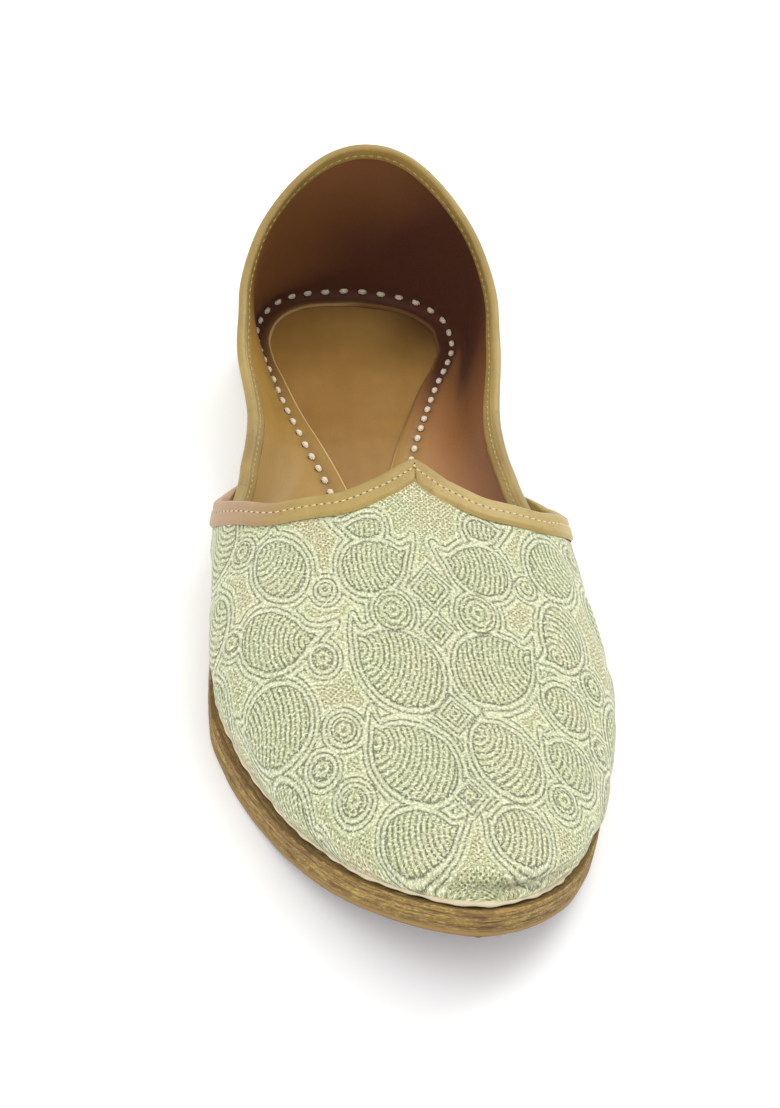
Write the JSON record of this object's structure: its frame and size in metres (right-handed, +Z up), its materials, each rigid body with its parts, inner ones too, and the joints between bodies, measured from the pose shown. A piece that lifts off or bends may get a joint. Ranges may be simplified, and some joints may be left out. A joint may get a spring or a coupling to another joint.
{
  "type": "mojari shoe",
  "caption": "Right-foot mojari: pale brocade upper with a pointed throat, gold-tan leather binding, tan leather lining and footbed, stacked leather sole",
  "frame": {"origin": "on the floor under the middle of the heel's flat spot", "axes": "+X to the inner (big toe) side, +Y towards the heel's back with the toe at -Y, +Z up"},
  "size_m": [0.0943, 0.28, 0.0699],
  "materials": {
    "brocade": "woven",
    "binding_leather": "smooth",
    "lining_leather": "smooth",
    "stitch_thread": "twisted",
    "footbed_leather": "smooth",
    "sole_leather": "burnished",
    "outsole_leather": "dyed"
  },
  "bodies": {
    "root": {"upper": "brocade", "insole": "footbed_leather", "midsole": "sole_leather", "outsole": "outsole_leather"}
  },
  "joints": []
}
